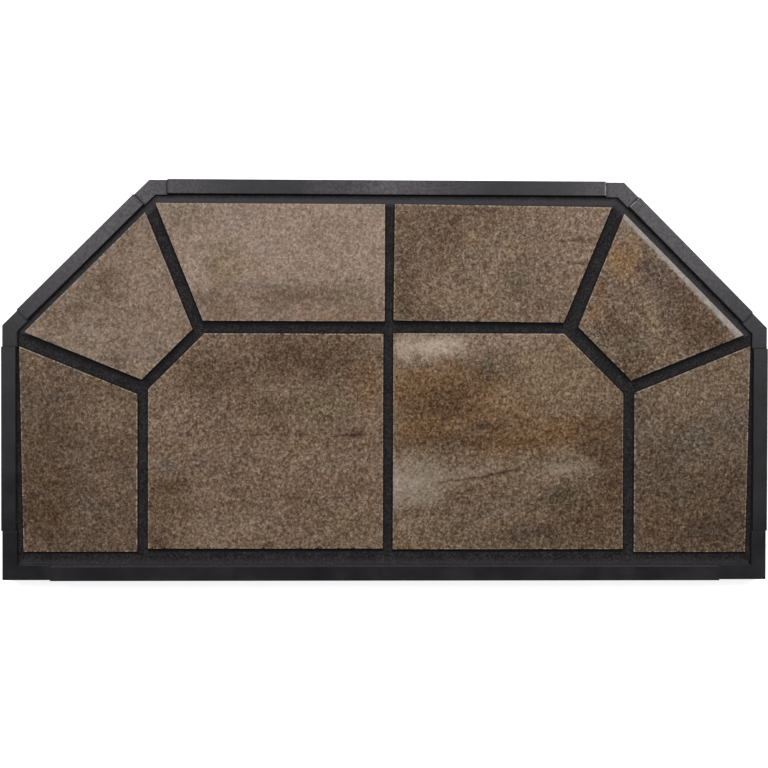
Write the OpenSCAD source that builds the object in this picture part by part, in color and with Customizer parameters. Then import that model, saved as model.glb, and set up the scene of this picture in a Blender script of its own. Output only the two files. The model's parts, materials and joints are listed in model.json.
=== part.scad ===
// Tiled hearth pad: a floor board for a stove or fireplace, with two clipped back corners.
// Eight cut tiles lie on a mortar bed, a cement board and a plywood base. Six black steel
// rails edge the pad and lap over six corner pieces, and small flat-head screws hold both.
//
// Frame: +X to the right along the long front rail, +Y from the front rail to the short back
// rail, +Z up out of the tile faces. The origin is on the floor under the middle of the pad.

/* [Pad] */
// Width over the side rails
pad_w = 1068; // [960:2:1200]
// Depth over the front and back rails
pad_d = 558; // [520:2:620]
// Leg of each clipped 45 degree corner
clip = 203; // [190:1:210]

/* [Layers] */
// Thickness of the plywood base board
base_t = 12.7; // [11:0.1:25]
// Thickness of the cement board
cement_t = 6.4; // [6:0.1:13]
// Thickness of the mortar bed
mortar_t = 3; // [2:0.5:6]
// Thickness of the tiles
tile_t = 8; // [6:0.5:12]
// Depth of the grout below the tile faces
grout_drop = 2; // [1:0.1:4]
// Width of the bevel round each tile face
arris = 0.6; // [0.2:0.1:1]

/* [Tile layout] */
// From the back rail's outer face to the tiles
margin_back = 33.5; // [26:0.5:34]
// From the clip rails' outer faces to the tiles
margin_clip = 30.5; // [25:0.5:34]
// From the side rails' outer faces to the tiles
margin_side = 26; // [24:0.5:34]
// From the front rail's outer face to the side tiles
margin_front = 41; // [30:0.5:48]
// Width of the joint down the middle
centre_joint = 13; // [10:0.5:16]
// Width of the joint between the back tiles and the centre tiles
cross_joint = 17.5; // [8:0.5:20]
// Width of the joints beside the side tiles
side_joint = 15; // [8:0.5:20]
// Width of the joints between the centre tiles and the diagonal tiles
clip_joint = 19; // [10:0.5:22]
// Width of the joints that run out to the pad's bends
radial_joint = 20; // [15:0.5:24]
// Lean of those joints from the pad's axes
radial_angle = 22; // [20:0.5:24]
// Middle of the cross joint, back from the pad's middle
cross_y = 74; // [65:1:85]
// Middle of each side joint, out from the pad's middle
side_x = 339; // [325:1:350]
// Distance of each clip joint from the pad's middle
clip_reach = 233; // [225:0.5:240]

/* [Edge trim] */
// Thickness of the trim's sheet steel
sheet_t = 1.2; // [0.8:0.1:1.6]
// Width of the rails' lips over the tiles' border
lip_w = 20; // [16:0.5:21]
// How much further in the corner pieces' lips reach
corner_reach = 2; // [0:0.5:3]
// Gap between the trim's lower edge and the floor
foot_gap = 1; // [0.5:0.5:3]
// Leg of the square corner pieces along the side rails, to the seam
side_leg = 70; // [50:1:90]
// Leg of the square corner pieces along the front rail, to the seam
front_leg = 67; // [50:1:90]
// Leg of the bent corner pieces along the side and clip rails, to the seam
bend_leg = 30; // [25:1:45]
// Leg of the bent corner pieces along the back rail, to the seam
back_leg = 26; // [25:1:45]
// How far each corner piece runs on under a rail
tongue = 14; // [12:1:20]

/* [Screws] */
// Largest spacing of the trim screws
screw_pitch = 250; // [150:10:400]
// Length of the trim screws
trim_screw_l = 14; // [12:1:20]
// Diameter of the trim screws' heads
trim_head_d = 5.6; // [5:0.1:6]
// Diameter of the trim screws' shanks
trim_shank_d = 2.8; // [2.4:0.1:3.2]
// Length of the screws that hold the cement board down
board_screw_l = 15; // [12:1:16]
// Diameter of those screws' heads
board_head_d = 8; // [7:0.1:8.5]
// Diameter of those screws' shanks
board_shank_d = 4; // [3.5:0.1:4.5]

/* [Hidden] */
$fn = 32;

// Heights above the floor
cement_z = base_t;
mortar_z = cement_z + cement_t;
tile_z = mortar_z + mortar_t;
tile_top = tile_z + tile_t;
grout_top = tile_top - grout_drop;
corner_top = grout_top + sheet_t; // the corner pieces lie on the grout
rail_top = corner_top + sheet_t; // the rails lie on the corner pieces
trim_screw_z = base_t / 2;

// Fits
over = 1; // how far a cutting shape runs past what it cuts
board_inset = 2 * sheet_t + 0.6; // the boards stop just short of the corner pieces' walls
tongue_gap = 0.3; // play of a corner piece's tongue inside the rail's return
pilot_gap = 0.05; // play of a shank in its pilot hole
head_gap = 0.1; // play of a head in its countersink
taper_l = 3; // length of a screw's point
recess_w = 0.8; // arm of the cross recess in a screw's head
recess_depth = 1;

// Corners of the pad's outline, brought in by inset, anticlockwise from the front right
function pad_corners(inset) =
    let (x = pad_w / 2 - inset, y = pad_d / 2 - inset, c = clip - inset * (2 - sqrt(2)))
    [[x, -y], [x, y - c], [x - c, y], [c - x, y], [-x, y - c], [-x, -y]];
function direction(p, q) = atan2(q.y - p.y, q.x - p.x);
function next(i, points) = (i + 1) % len(points);

// ---- tiles ----

// A straight line, by the direction of its normal and its distance from the pad's middle
function line(angle, reach) = [cos(angle), sin(angle), reach];
function meet(a, b) =
    let (d = a.x * b.y - a.y * b.x)
    [(a.z * b.y - b.z * a.y) / d, (a.x * b.z - b.x * a.z) / d];
function distance_of(angle, point) = cos(angle) * point.x + sin(angle) * point.y;

// Where the joints meet in the right half of the pad
back_bend = [clip_reach * sqrt(2) - cross_y, cross_y];
side_bend = [side_x, clip_reach * sqrt(2) - side_x];
back_radial = distance_of(-radial_angle, back_bend);
side_radial = distance_of(90 + radial_angle, side_bend);
clip_face = (pad_w + pad_d - 2 * clip) / 2 / sqrt(2);
side_lean = -1.2; // the side tiles narrow towards the front

// The lines that bound each shape of tile in the right half, as [normal, reach]
TOP = [
    [90, pad_d / 2 - margin_back],
    [180, -centre_joint / 2],
    [270, -cross_y - cross_joint / 2],
    [-radial_angle, back_radial - radial_joint / 2]
];
DIAGONAL = [
    [180 - radial_angle, -back_radial - radial_joint / 2],
    [225, -clip_reach - clip_joint / 2],
    [270 + radial_angle, -side_radial - radial_joint / 2],
    [45, clip_face - margin_clip]
];
SIDE = [
    [90 + radial_angle, side_radial - radial_joint / 2],
    [180, -side_x - side_joint / 2],
    [270, pad_d / 2 - margin_front],
    [side_lean, pad_w / 2 - margin_side]
];
CENTRE = [
    [90, cross_y - cross_joint / 2],
    [180, -centre_joint / 2],
    [270, pad_d / 2 - margin_front],
    [0, side_x - side_joint / 2],
    [45, clip_reach - clip_joint / 2]
];

// Each tile as it was cut and laid: shape, side (1 right, -1 left), how far each edge runs past
// its line, how far the tile is turned, and colour
TILES = [
    ["tile_top_left", TOP, -1, [0, 3, 0, 7], 0, "#867365"],
    ["tile_top_right", TOP, 1, [-1, -3, 0, -1], -0.5, "#716052"],
    ["tile_diagonal_left", DIAGONAL, -1, [-5, 1, 1, 1], 0, "#7C6B5E"],
    ["tile_diagonal_right", DIAGONAL, 1, [0, 0, 1, -1], 0, "#6C5C4E"],
    ["tile_side_left", SIDE, -1, [-2, 0, 0, 0], 0, "#625145"],
    ["tile_side_right", SIDE, 1, [1, 0, 1, 0], 0, "#645549"],
    ["tile_centre_left", CENTRE, -1, [0, 1, -4, 0, 2], 0, "#6A584A"],
    ["tile_centre_right", CENTRE, 1, [1, -2, -3, -1, -2], 0, "#6D5B4B"]
];

function middle(points) = [for (p = points) 1] * points / len(points);
function turned(points, angle, m) =
    [for (p = points)
        m + [cos(angle) * (p.x - m.x) - sin(angle) * (p.y - m.y),
             sin(angle) * (p.x - m.x) + cos(angle) * (p.y - m.y)]];
function crossings(lines) = [for (i = [0 : len(lines) - 1]) meet(lines[i], lines[next(i, lines)])];
// The lines of a tile, each brought in by inset
function tile_lines(tile, inset) =
    [for (i = [0 : len(tile[1]) - 1])
        line(tile[2] > 0 ? tile[1][i][0] : 180 - tile[1][i][0], tile[1][i][1] + tile[3][i] - inset)];
function tile_corners(tile, inset = 0) =
    turned(crossings(tile_lines(tile, inset)), tile[4], middle(crossings(tile_lines(tile, 0))));

module tile(i) {
    color(TILES[i][5])
        translate([0, 0, tile_z])
            hull() {
                linear_extrude(tile_t - arris)
                    polygon(tile_corners(TILES[i]));
                linear_extrude(tile_t)
                    polygon(tile_corners(TILES[i], arris));
            }
}

// ---- boards, mortar and grout ----

module slab(z, thickness) {
    translate([0, 0, z])
        linear_extrude(thickness)
            polygon(pad_corners(board_inset));
}

module base_board() {
    color("burlywood")
        difference() {
            slab(0, base_t);
            trim_screw_places() pilot(trim_screw_l, trim_shank_d);
            board_screw_places() pilot(board_screw_l, board_shank_d);
        }
}

module cement_board() {
    color("darkgray")
        difference() {
            slab(cement_z, cement_t);
            board_screw_places() {
                pilot(board_screw_l, board_shank_d);
                countersink(board_head_d, board_shank_d);
            }
        }
}

module mortar_bed() {
    color("gray")
        slab(mortar_z, mortar_t);
}

module grout() {
    color("#2E2C2D")
        difference() {
            slab(tile_z, grout_top - tile_z);
            for (tile = TILES)
                translate([0, 0, tile_z - over])
                    linear_extrude(tile_t + 2 * over)
                        polygon(tile_corners(tile));
        }
}

// ---- edge trim ----

// What a quarter circle leaves of a square at the corner it rounds
module spandrel(r) {
    difference() {
        square(r + over);
        circle(r);
    }
}

// Section of a rail: wall, bend, lip and a short return down to the grout.
// x runs in from the wall's outer face and y runs up from its lower edge.
module rail_section() {
    h = rail_top - foot_gap;
    nose_r = sheet_t / 2;
    difference() {
        square([lip_w, h]);
        translate([sheet_t, h - sheet_t]) rotate(90) spandrel(sheet_t);
        translate([lip_w - nose_r, h - nose_r]) spandrel(nose_r);
        translate([sheet_t, -over]) square([lip_w - 2 * sheet_t, h - sheet_t + over]);
        translate([2 * sheet_t, -over]) square([lip_w, h - 2 * sheet_t + over]);
    }
}

// Runs a section along +X from a to b, at its height above the floor
module run(a, b) {
    translate([a, 0, foot_gap])
        rotate([90, 0, 90])
            linear_extrude(b - a)
                children();
}

// Puts its children on edge i of the outline: +X along the edge, +Y in
module on_edge(i) {
    points = pad_corners(0);
    p = points[i];
    translate([p.x, p.y, 0])
        rotate([0, 0, direction(p, points[next(i, points)])])
            children();
}

// Visible leg of each corner piece, [on the edge before it, on the edge after it]
LEGS = [
    [front_leg, side_leg], [bend_leg, bend_leg], [bend_leg, back_leg],
    [back_leg, bend_leg], [bend_leg, bend_leg], [side_leg, front_leg]
];
function before(i) = (i + len(LEGS) - 1) % len(LEGS);
function edge_length(i) =
    let (points = pad_corners(0)) norm(points[next(i, points)] - points[i]);
// A point on edge i of the outline, this far along it and this far in
function spot(i, along, inset) =
    let (points = pad_corners(0), d = (points[next(i, points)] - points[i]) / edge_length(i))
    points[i] + along * d + inset * [-d.y, d.x];
function rail_start(i) = LEGS[i][1];
function rail_end(i) = edge_length(i) - LEGS[next(i, LEGS)][0];

// Places of the screws along edge i: one in each lap and others evenly between them
function screw_stops(i) =
    let (a = rail_start(i) + tongue / 2, b = rail_end(i) - tongue / 2,
         n = ceil((b - a) / screw_pitch))
    [for (k = [0 : n]) a + (b - a) * k / n];

module drill_edge(i) {
    on_edge(i)
        for (x = screw_stops(i))
            screw_axis(x)
                drilled(trim_head_d, trim_shank_d, trim_screw_l);
}

module rail(i) {
    color("#34323A")
        difference() {
            on_edge(i)
                run(rail_start(i), rail_end(i))
                    rail_section();
            drill_edge(i);
        }
}

// Plan of corner piece i: its legs between two insets, which narrow to tongues under the rails
function corner_plan(i, outer, inner, narrow) =
    let (a = LEGS[i][1], b = rail_end(before(i)))
    [
        pad_corners(outer)[i],
        spot(i, a + tongue, outer), spot(i, a + tongue, narrow),
        spot(i, a, narrow), spot(i, a, inner),
        pad_corners(inner)[i],
        spot(before(i), b, inner), spot(before(i), b, narrow),
        spot(before(i), b - tongue, narrow), spot(before(i), b - tongue, outer)
    ];

// Plan of the space under its lip, which runs past its ends and inner edges
function corner_hollow(i) =
    let (a = LEGS[i][1] + tongue + over, b = rail_end(before(i)) - tongue - over,
         wall = 2 * sheet_t, far = lip_w + corner_reach + over)
    [
        pad_corners(wall)[i], spot(i, a, wall), spot(i, a, far),
        pad_corners(far)[i], spot(before(i), b, far), spot(before(i), b, wall)
    ];

module corner_piece(i) {
    h = corner_top - foot_gap;
    color("#2B2930")
        difference() {
            translate([0, 0, foot_gap])
                linear_extrude(h)
                    polygon(corner_plan(i, sheet_t, lip_w + corner_reach, lip_w - sheet_t - tongue_gap));
            translate([0, 0, foot_gap - over])
                linear_extrude(h - sheet_t + over)
                    polygon(corner_hollow(i));
            drill_edge(before(i));
            drill_edge(i);
        }
}

// ---- screws ----
// A screw's head is flush at the origin and its shank runs down to -Z.

module screw(length, head_d, shank_d) {
    head_h = (head_d - shank_d) / 2;
    arm = head_d * 0.55;
    difference() {
        union() {
            translate([0, 0, -head_h]) cylinder(h = head_h, d1 = shank_d, d2 = head_d);
            translate([0, 0, taper_l - length]) cylinder(h = length - taper_l, d = shank_d);
            translate([0, 0, -length]) cylinder(h = taper_l, d1 = shank_d / 4, d2 = shank_d);
        }
        for (turn = [0, 90])
            rotate([0, 0, turn])
                translate([-arm / 2, -recess_w / 2, -recess_depth])
                    cube([arm, recess_w, recess_depth + over]);
    }
}

module pilot(length, shank_d) {
    translate([0, 0, -length - pilot_gap])
        cylinder(h = length + pilot_gap + over, d = shank_d + 2 * pilot_gap);
}

module countersink(head_d, shank_d) {
    head_h = (head_d - shank_d) / 2;
    translate([0, 0, -head_h])
        cylinder(h = head_h, d1 = shank_d + 2 * head_gap, d2 = head_d + 2 * head_gap);
    cylinder(h = over, d = head_d + 2 * head_gap);
}

module drilled(head_d, shank_d, length) {
    pilot(length, shank_d);
    countersink(head_d, shank_d);
}

// Turns a screw so that it runs in through the wall, at x along the edge
module screw_axis(x) {
    translate([x, 0, trim_screw_z])
        rotate([90, 0, 0])
            children();
}

module trim_screw_places() {
    for (i = [0 : len(LEGS) - 1])
        on_edge(i)
            for (x = screw_stops(i))
                screw_axis(x)
                    children();
}

module trim_screws() {
    color("#1E1D20")
        trim_screw_places() screw(trim_screw_l, trim_head_d, trim_shank_d);
}

// Rows of screws through the cement board: [distance from the front, outermost, how many]
board_rows = [
    [60, pad_w / 2 - 60, 4],
    [pad_d / 2, pad_w / 2 - 60, 4],
    [pad_d - 60, pad_w / 2 - clip - 30, 3]
];

module board_screw_places() {
    for (row = board_rows)
        for (k = [0 : row[2] - 1])
            translate([row[1] * (2 * k / (row[2] - 1) - 1), row[0] - pad_d / 2, mortar_z])
                children();
}

module board_screws() {
    color("silver")
        board_screw_places() screw(board_screw_l, board_head_d, board_shank_d);
}

base_board();
cement_board();
mortar_bed();
grout();
tile(0);  // tile_top_left
tile(1);  // tile_top_right
tile(2);  // tile_diagonal_left
tile(3);  // tile_diagonal_right
tile(4);  // tile_side_left
tile(5);  // tile_side_right
tile(6);  // tile_centre_left
tile(7);  // tile_centre_right
rail(0);  // rail_right
rail(1);  // rail_clip_right
rail(2);  // rail_back
rail(3);  // rail_clip_left
rail(4);  // rail_left
rail(5);  // rail_front
corner_piece(0);  // corner_front_right
corner_piece(1);  // corner_side_right
corner_piece(2);  // corner_back_right
corner_piece(3);  // corner_back_left
corner_piece(4);  // corner_side_left
corner_piece(5);  // corner_front_left
trim_screws();
board_screws();
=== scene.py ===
import json
import math

import bmesh
import bpy
import numpy as np
from mathutils import Matrix, Vector
from mathutils.geometry import convex_hull_2d, delaunay_2d_cdt


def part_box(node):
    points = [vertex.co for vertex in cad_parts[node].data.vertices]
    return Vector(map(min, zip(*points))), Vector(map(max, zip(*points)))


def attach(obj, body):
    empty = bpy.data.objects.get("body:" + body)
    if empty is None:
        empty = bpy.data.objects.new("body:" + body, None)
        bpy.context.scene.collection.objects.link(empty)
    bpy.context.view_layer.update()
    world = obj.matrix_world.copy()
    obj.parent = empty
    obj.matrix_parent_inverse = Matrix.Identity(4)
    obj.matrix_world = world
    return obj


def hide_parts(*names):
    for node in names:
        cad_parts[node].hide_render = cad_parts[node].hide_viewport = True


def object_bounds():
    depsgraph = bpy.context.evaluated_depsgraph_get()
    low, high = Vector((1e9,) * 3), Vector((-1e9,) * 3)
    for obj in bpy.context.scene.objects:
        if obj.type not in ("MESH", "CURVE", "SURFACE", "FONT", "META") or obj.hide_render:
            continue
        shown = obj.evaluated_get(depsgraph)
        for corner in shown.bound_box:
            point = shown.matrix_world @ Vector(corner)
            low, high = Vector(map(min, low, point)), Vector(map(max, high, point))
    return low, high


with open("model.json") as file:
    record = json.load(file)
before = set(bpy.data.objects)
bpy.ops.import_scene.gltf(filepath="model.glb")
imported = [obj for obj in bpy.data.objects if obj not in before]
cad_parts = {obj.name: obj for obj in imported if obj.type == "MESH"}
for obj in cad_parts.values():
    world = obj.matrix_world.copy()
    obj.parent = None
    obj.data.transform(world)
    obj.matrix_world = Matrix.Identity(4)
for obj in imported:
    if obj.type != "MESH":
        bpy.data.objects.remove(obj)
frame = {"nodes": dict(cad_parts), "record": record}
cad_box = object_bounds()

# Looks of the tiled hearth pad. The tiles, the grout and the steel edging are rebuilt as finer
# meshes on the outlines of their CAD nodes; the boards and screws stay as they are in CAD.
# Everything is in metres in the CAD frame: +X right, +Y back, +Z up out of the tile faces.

NODES = frame["nodes"]
MM = 0.001
PAD_LO = np.array(cad_box[0][:2])
PAD_HI = np.array(cad_box[1][:2])

# ---- reading the CAD nodes ----


def vertices(mesh):
    """A mesh's vertices as an array."""
    co = np.zeros(len(mesh.vertices) * 3, np.float32)
    mesh.vertices.foreach_get("co", co)
    return co.reshape(-1, 3).astype(float)


def plan(node):
    """Corners of a convex node's plan, anticlockwise, without points that lie along an edge."""
    xy = vertices(NODES[node].data)[:, :2]
    ring = xy[convex_hull_2d([Vector(p) for p in xy])]
    ring = ring[np.linalg.norm(ring - np.roll(ring, 1, 0), axis=1) > 0.05 * MM]
    before = ring - np.roll(ring, 1, 0)
    after = np.roll(ring, -1, 0) - ring
    turn = before[:, 0] * after[:, 1] - before[:, 1] * after[:, 0]
    turn /= np.linalg.norm(before, axis=1) * np.linalg.norm(after, axis=1)
    ring = ring[np.abs(turn) > 0.01]
    return ring if turn.sum() > 0 else ring[::-1]


def top(node):
    """Height of a CAD node's top."""
    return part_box(node)[1].z


def bottom(node):
    """Height of a CAD node's foot."""
    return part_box(node)[0].z


FOOT = bottom("rail_front")
RAIL_TOP = top("rail_front")
CORNER_TOP = top("corner_front_left")
SHEET = RAIL_TOP - CORNER_TOP
TILE_TOP = top("tile_centre_left")
TILE_FOOT = bottom("tile_centre_left")
GROUT_TOP = top("grout")

# ---- seeded noise and outlines ----


def smooth(low, high, x):
    """0 up to low, 1 from high on, and eased between them."""
    t = np.clip((x - low) / (high - low), 0, 1)
    return t * t * (3 - 2 * t)


def noise(xy, cell, seed):
    """Gradient noise in the pad's plane, about -1 to 1, with lumps of about cell metres."""
    cell = np.array(np.broadcast_to(cell, 2), float)
    cells = np.ceil((PAD_HI - PAD_LO) / cell).astype(int) + 3
    angle = np.random.default_rng(seed).uniform(0, 2 * math.pi, cells)
    q = (xy - PAD_LO) / cell + 1
    base = np.floor(q).astype(int)
    f = q - base
    w = f * f * f * (f * (f * 6 - 15) + 10)
    total = 0
    for dx in (0, 1):
        for dy in (0, 1):
            a = angle[(base[:, 0] + dx) % cells[0], (base[:, 1] + dy) % cells[1]]
            slope = np.cos(a) * (f[:, 0] - dx) + np.sin(a) * (f[:, 1] - dy)
            share_x = w[:, 0] if dx else 1 - w[:, 0]
            share_y = w[:, 1] if dy else 1 - w[:, 1]
            total = total + slope * share_x * share_y
    return total * 1.5


def cloud(xy, cell, seed, octaves=4, gain=0.55):
    """Noise summed over octaves, each half the size of the one before."""
    cell = np.array(np.broadcast_to(cell, 2), float)
    layers = [gain**k * noise(xy, cell / 2**k, seed + k) for k in range(octaves)]
    return sum(layers) / math.sqrt(sum(gain ** (2 * k) for k in range(octaves)))


def inward(corners):
    """The inward normal of each edge of an anticlockwise outline."""
    step = np.roll(corners, -1, 0) - corners
    step = step / np.linalg.norm(step, axis=1)[:, None]
    return np.stack([-step[:, 1], step[:, 0]], 1)


def inset(corners, distance):
    """An outline moved in by distance, or out where that is negative."""
    after = inward(corners)
    before = np.roll(after, 1, 0)
    return corners + distance * (before + after) / (1 + np.sum(before * after, 1))[:, None]


def depths(corners, xy):
    """How far points lie inside each edge of an outline, as edges by points."""
    return np.array([(xy - c) @ n for c, n in zip(corners, inward(corners))])


def counts(corners, pitch):
    """How many steps of about pitch each edge of an outline takes."""
    length = np.linalg.norm(np.roll(corners, -1, 0) - corners, axis=1)
    return np.maximum(2, np.round(length / pitch)).astype(int)


def stepped(corners, steps):
    """Points along an outline, with that many steps on each edge."""
    ends = np.roll(corners, -1, 0)
    return np.concatenate(
        [a + (b - a) * np.arange(n)[:, None] / n for a, b, n in zip(corners, ends, steps)]
    )


def scattered(lo, hi, pitch, seed):
    """Points on a triangular grid over a rectangle, each a little off its place."""
    x, y = np.meshgrid(np.arange(lo[0], hi[0], pitch), np.arange(lo[1], hi[1], pitch * 0.866))
    x[1::2] += pitch / 2
    xy = np.stack([x.ravel(), y.ravel()], 1)
    return xy + np.random.default_rng(seed).uniform(-0.18, 0.18, xy.shape) * pitch


def triangulated(rings, loose, holes=()):
    """Triangles over the area inside the first ring, outside the holes.

    Returns the points, the triangles and each ring as indices into the points.
    """
    points = np.concatenate([*rings, *([loose] if len(loose) else [])])
    kept = []
    first = 0
    for ring in rings:
        kept.append(np.arange(first, first + len(ring)))
        first += len(ring)
    edges = [(int(a), int(b)) for ring in kept for a, b in zip(ring, np.roll(ring, -1))]
    made = delaunay_2d_cdt([Vector(p) for p in points], edges, [], 1, 1e-8, True)
    place = {old: new for new, olds in enumerate(made[3]) for old in olds}
    xy = np.array([v[:] for v in made[0]])
    faces = np.array(made[2])
    centre = xy[faces].mean(1)
    for hole in holes:
        outside = depths(hole, centre).min(0) < 0
        faces = faces[outside]
        centre = centre[outside]
    return xy, faces, [[place[int(i)] for i in ring] for ring in kept]


# ---- the edging ----


class Edge:
    """One straight side of the pad, read from its rail."""

    def __init__(self, rail):
        self.rail = rail
        xy = plan(rail)
        sides = np.roll(xy, -1, 0) - xy
        longest = np.linalg.norm(sides, axis=1).argmax()
        out = -inward(xy)[longest]
        self.out = out if out @ xy.mean(0) > 0 else -out
        self.along = np.array([-self.out[1], self.out[0]])
        self.reach = (xy @ self.out).max()
        self.start = (xy @ self.along).min()
        self.end = (xy @ self.along).max()
        self.lip = self.reach - (xy @ self.out).min()

    def point(self, along, depth):
        """Places along the edge and in from the rail's outer face, as x and y."""
        along, depth = np.broadcast_arrays(along, depth)
        return along[..., None] * self.along + (self.reach - depth)[..., None] * self.out


RAILS = ["rail_right", "rail_clip_right", "rail_back", "rail_clip_left", "rail_left", "rail_front"]
EDGES = [Edge(rail) for rail in RAILS]
# Corner piece i lies between edge i - 1 and edge i
CORNERS = ["corner_front_right", "corner_side_right", "corner_back_right",
           "corner_back_left", "corner_side_left", "corner_front_left"]

# ---- meshes ----


def placed(name, data):
    """A new object in the scene."""
    made = bpy.data.objects.new(name, data)
    bpy.context.scene.collection.objects.link(made)
    return made


def from_bmesh(name, shape):
    """A new object of a bmesh's shape. The bmesh is freed."""
    mesh = bpy.data.meshes.new(name)
    shape.to_mesh(mesh)
    shape.free()
    return placed(name, mesh)


def smoothed(mesh, sharp=40):
    """Shades a mesh smooth, apart from edges that turn more than sharp degrees."""
    mesh.shade_smooth()
    mesh.set_sharp_from_angle(angle=math.radians(sharp))


def piece(name, points, faces, slot, *nodes, sharp=40):
    """A new mesh that rides on the pad and stands for CAD nodes."""
    mesh = bpy.data.meshes.new(name)
    mesh.from_pydata(np.asarray(points).tolist(), [], [list(map(int, f)) for f in faces])
    mesh.validate()
    smoothed(mesh, sharp)
    mesh.materials.append(LOOKS[slot])
    made = placed(name, mesh)
    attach(made, "root")
    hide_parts(*nodes)
    return made


def attribute(made, name, values, rest=0.0):
    """Stores one value, or one colour, for each vertex. Vertices past the values get rest."""
    colour = np.ndim(values) == 2
    kind, field = ("FLOAT_COLOR", "color") if colour else ("FLOAT", "value")
    layer = made.data.attributes.new(name, kind, "POINT")
    stored = np.ones((len(made.data.vertices), 4 if colour else 1), np.float32)
    width = 3 if colour else 1
    stored[:, :width] = rest
    stored[: len(values), :width] = np.reshape(values, (-1, width))
    layer.data.foreach_set(field, stored.ravel())


def slab(surface, faces, rings, foot, holes=()):
    """Closes a surface with a wall down from each ring and a flat underside at foot.

    The surface's vertices come first and the wall's lower ones after them.
    """
    sides = [surface[ring] * (1, 1, 0) + (0, 0, foot) for ring in rings]
    xy, under, lower = triangulated([s[:, :2] for s in sides], [], holes)
    first = len(surface)
    points = np.concatenate([surface, np.column_stack([xy, np.full(len(xy), foot)])])
    walls = []
    for number, (ring, low) in enumerate(zip(rings, lower)):
        low = [first + i for i in low]
        for a, b, c, d in zip(ring, np.roll(ring, -1), np.roll(low, -1), low):
            walls.append((d, c, b, a) if number == 0 else (a, b, c, d))
    underside = (under[:, ::-1] + first).tolist()
    return points, [*faces.tolist(), *walls, *underside]


# ---- materials ----

GAMMA = 2.4  # between a colour's value and how light it looks


class Look:
    """A Principled material and short ways to add the nodes that drive it."""

    def __init__(self, name, roughness=0.5, specular=0.5, metallic=0.0):
        self.material = bpy.data.materials.new(name)
        self.material.use_nodes = True
        self.tree = self.material.node_tree
        self.shader = self.tree.nodes["Principled BSDF"]
        self.drive("Roughness", roughness)
        self.drive("Specular IOR Level", specular)
        self.drive("Metallic", metallic)
        self.place = self.add("ShaderNodeTexCoord").outputs["Object"]

    def add(self, kind, **settings):
        """A new node with some of its properties set."""
        node = self.tree.nodes.new(kind)
        for key, value in settings.items():
            setattr(node, key, value)
        return node

    def put(self, socket, value):
        """Links a socket to another's output, or sets it to a constant."""
        if isinstance(value, bpy.types.NodeSocket):
            self.tree.links.new(value, socket)
        elif isinstance(value, tuple) and len(value) == 3 and socket.type == "RGBA":
            socket.default_value = (*value, 1)
        else:
            socket.default_value = value

    def drive(self, name, value):
        """Puts a value in one of the shader's own sockets."""
        self.put(self.shader.inputs[name], value)

    def read(self, name, output="Fac"):
        """A value or colour stored in the mesh."""
        return self.add("ShaderNodeAttribute", attribute_name=name).outputs[output]

    def stretched(self, scale):
        """The place, scaled by that much along x, y and z."""
        node = self.add("ShaderNodeMapping")
        self.put(node.inputs["Vector"], self.place)
        node.inputs["Scale"].default_value = scale
        return node.outputs["Vector"]

    def noise(self, size, detail=3.0, rough=0.55, place=None):
        """Noise with lumps of about that size in metres."""
        node = self.add("ShaderNodeTexNoise")
        self.put(node.inputs["Vector"], place or self.place)
        node.inputs["Scale"].default_value = 1 / size
        node.inputs["Detail"].default_value = detail
        node.inputs["Roughness"].default_value = rough
        return node.outputs["Fac"]

    def cells(self, size, output="Distance"):
        """Cells of about that size: how far from their middles, or one random colour for each."""
        node = self.add("ShaderNodeTexVoronoi")
        self.put(node.inputs["Vector"], self.place)
        node.inputs["Scale"].default_value = 1 / size
        return node.outputs[output]

    def fit(self, value, low, high, to_low=0.0, to_high=1.0):
        """Maps low..high to to_low..to_high, held at both ends."""
        node = self.add("ShaderNodeMapRange", interpolation_type="SMOOTHSTEP")
        for socket, number in zip(node.inputs, (value, low, high, to_low, to_high)):
            self.put(socket, number)
        return node.outputs["Result"]

    def sum(self, *terms):
        """The sum of values, each times its share."""
        total = None
        for value, share in terms:
            node = self.add("ShaderNodeMath", operation="MULTIPLY_ADD")
            so_far = 0.0 if total is None else total
            for socket, number in zip(node.inputs, (value, share, so_far)):
                self.put(socket, number)
            total = node.outputs[0]
        return total

    def times(self, a, b):
        node = self.add("ShaderNodeMath", operation="MULTIPLY")
        self.put(node.inputs[0], a)
        self.put(node.inputs[1], b)
        return node.outputs[0]

    def power(self, colour, exponent):
        node = self.add("ShaderNodeGamma")
        self.put(node.inputs["Color"], colour)
        node.inputs["Gamma"].default_value = exponent
        return node.outputs[0]

    def lift(self, colour, amount):
        """Adds an amount to a colour, evenly to the eye, and keeps it above black."""
        node = self.add("ShaderNodeVectorMath", operation="ADD")
        self.put(node.inputs[0], self.power(colour, 1 / GAMMA))
        self.put(node.inputs[1], amount)
        floor = self.add("ShaderNodeVectorMath", operation="MAXIMUM")
        self.put(floor.inputs[0], node.outputs[0])
        floor.inputs[1].default_value = (0.04, 0.04, 0.04)
        return self.power(floor.outputs[0], GAMMA)

    def mix(self, a, b, share):
        """Colour a, turned to b by a share."""
        node = self.add("ShaderNodeMix", data_type="RGBA")
        self.put(node.inputs[0], share)
        self.put(node.inputs[6], a)
        self.put(node.inputs[7], b)
        return node.outputs[2]

    def shade(self, colour, factor):
        """A colour made lighter or darker by a factor from a socket."""
        node = self.add("ShaderNodeVectorMath", operation="SCALE")
        self.put(node.inputs[0], colour)
        self.put(node.inputs["Scale"], factor)
        return node.outputs[0]

    def bump(self, height, depth):
        """Bumps that deep in metres."""
        node = self.add("ShaderNodeBump")
        node.inputs["Strength"].default_value = 1.0
        node.inputs["Distance"].default_value = depth
        self.put(node.inputs["Height"], height)
        self.drive("Normal", node.outputs["Normal"])


WHITE_LEVEL = 1.08  # how bright the studio light shows a white face


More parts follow.
